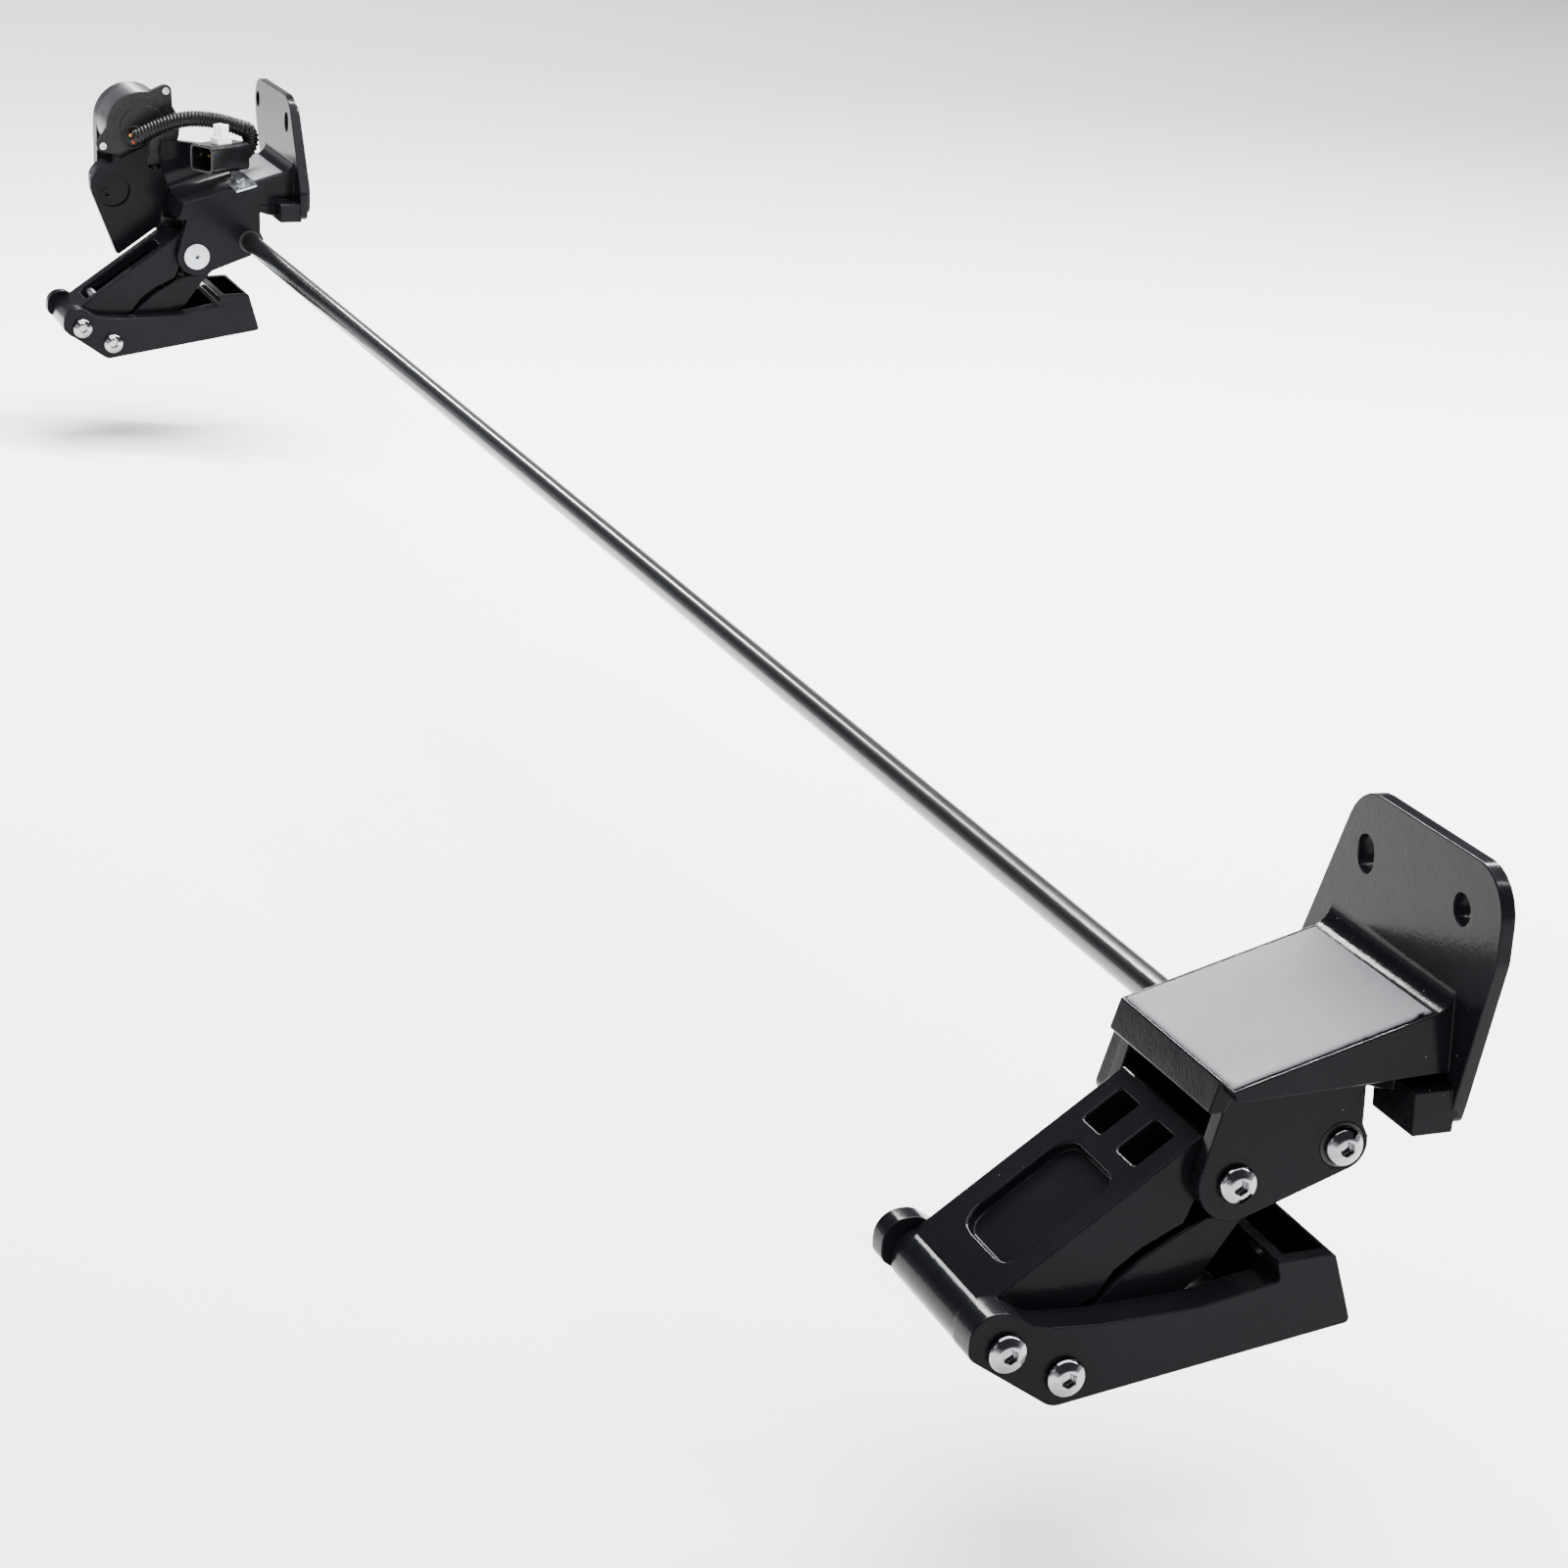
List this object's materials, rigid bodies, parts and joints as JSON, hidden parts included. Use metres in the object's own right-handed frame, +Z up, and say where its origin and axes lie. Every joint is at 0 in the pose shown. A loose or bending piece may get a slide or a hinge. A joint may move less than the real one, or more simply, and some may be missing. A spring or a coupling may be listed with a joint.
{
  "type": "powered running board linkage",
  "caption": "Retracting running-board linkage: follower and motor-driven four-bar hinge units joined by a cross rod, each with a bolting flange, foam pad and step bracket.",
  "frame": {"origin": "centre of the drive unit's round flange hole, on the face that meets the vehicle", "axes": "+X along the cross rod from the drive unit to the follower unit, +Y outboard through the flanges, +Z up"},
  "size_m": [1.8705, 0.1796, 0.1867],
  "materials": {
    "casting": "gloss black e-coat",
    "stainless": "polished stainless",
    "zinc": "bright zinc plate",
    "rod_black": "satin black",
    "foam": "matt light grey closed-cell foam",
    "bush": "grey bearing plastic",
    "gear_steel": "oiled steel",
    "gear_nylon": "natural nylon",
    "motor_paint": "satin black",
    "plastic_black": "black glass-filled nylon",
    "case_black": "satin black",
    "conduit_black": "black polyethylene",
    "connector_black": "glossy black",
    "contact_gold": "plated",
    "clip_white": "natural white nylon",
    "copper": "lacquered copper and steel"
  },
  "bodies": {
    "frame": {"follower_bracket": "casting", "follower_pad": "foam", "follower_arm_pin": "zinc", "follower_arm_screw": "stainless", "follower_bush_inner": "bush", "follower_bush_outer": "bush", "drive_bracket": "casting", "drive_pad": "foam", "drive_arm_pin": "zinc", "drive_arm_screw": "stainless", "drive_bush_inner": "bush", "drive_bush_outer": "bush", "idler_pin": "gear_steel", "gear_housing": "casting", "gear_case": "case_black", "gear_case_cover": "case_black", "motor_can": "motor_paint", "motor_cap": "plastic_black", "motor_screw_1": "zinc", "motor_screw_2": "zinc", "motor_screw_3": "zinc", "conduit": "conduit_black", "connector_shell": "connector_black", "connector_insert": "contact_gold", "connector_clip": "clip_white", "fixing_tab": "zinc", "fixing_tab_screw": "zinc"},
    "swing": {"cross_rod": "rod_black", "follower_inner_arm": "casting", "follower_rod_screw": "stainless", "drive_inner_arm": "casting", "drive_rod_screw": "stainless"},
    "follower_arm": {"follower_outer_arm": "casting"},
    "follower_step": {"follower_step_bracket": "casting", "follower_tip_pin": "stainless", "follower_heel_pin": "stainless", "follower_tip_screw_inner": "stainless", "follower_tip_screw_outer": "stainless", "follower_heel_screw_inner": "stainless", "follower_heel_screw_outer": "stainless"},
    "drive_arm": {"drive_outer_arm": "casting", "sector_gear": "gear_steel", "arm_roller": "gear_steel", "arm_roller_pin": "zinc"},
    "drive_step": {"drive_step_bracket": "casting", "drive_tip_pin": "stainless", "drive_heel_pin": "stainless", "drive_tip_screw_inner": "stainless", "drive_tip_screw_outer": "stainless", "drive_heel_screw_inner": "stainless", "drive_heel_screw_outer": "stainless"},
    "final_drive": {"final_shaft": "gear_steel", "final_pinion": "gear_steel", "final_wheel": "gear_steel"},
    "idler": {"idler_gear": "gear_nylon"},
    "rotor": {"motor_rotor": "copper", "motor_pinion": "gear_steel"}
  },
  "joints": [
    {"name": "deploy", "type": "hinge", "parent": "frame", "child": "swing", "pos_m": [0.116, -0.0414, -0.086], "axis": [1, 0, 0], "range_deg": [0, 50]},
    {"name": "follower_arm_swing", "type": "hinge", "parent": "frame", "child": "follower_arm", "pos_m": [1.785, -0.0808, -0.0956], "axis": [1, 0, 0], "range_deg": [0, 64.5]},
    {"name": "drive_arm_swing", "type": "hinge", "parent": "frame", "child": "drive_arm", "pos_m": [0.076, -0.0808, -0.0956], "axis": [1, 0, 0], "range_deg": [0, 64.5]},
    {"name": "follower_step_tilt", "type": "hinge", "parent": "swing", "child": "follower_step", "pos_m": [1.785, -0.1442, -0.1552], "axis": [1, 0, 0], "range_deg": [-55.5, 0]},
    {"name": "drive_step_tilt", "type": "hinge", "parent": "swing", "child": "drive_step", "pos_m": [0.076, -0.1442, -0.1552], "axis": [1, 0, 0], "range_deg": [-55.5, 0]},
    {"name": "final_drive_turn", "type": "hinge", "parent": "frame", "child": "final_drive", "pos_m": [0.029, -0.11636, -0.06102], "axis": [1, 0, 0], "range_deg": [-267.17, 0]},
    {"name": "idler_turn", "type": "hinge", "parent": "frame", "child": "idler", "pos_m": [0.006, -0.11083, -0.03408], "axis": [1, 0, 0], "range_deg": [0, 222.72]},
    {"name": "rotor_turn", "type": "hinge", "parent": "frame", "child": "rotor", "pos_m": [0.026, -0.1063, -0.01204], "axis": [1, 0, 0], "range_deg": [-444.94, 0]}
  ],
  "couplings": [
    {"joint": "follower_arm_swing", "follows": "deploy", "ratio": 1.28},
    {"joint": "drive_arm_swing", "follows": "deploy", "ratio": 1.28},
    {"joint": "follower_step_tilt", "follows": "deploy", "ratio": -1.1},
    {"joint": "drive_step_tilt", "follows": "deploy", "ratio": -1.1},
    {"joint": "final_drive_turn", "follows": "deploy", "ratio": -5.3333},
    {"joint": "idler_turn", "follows": "deploy", "ratio": 4.4444},
    {"joint": "rotor_turn", "follows": "deploy", "ratio": -8.8889}
  ]
}
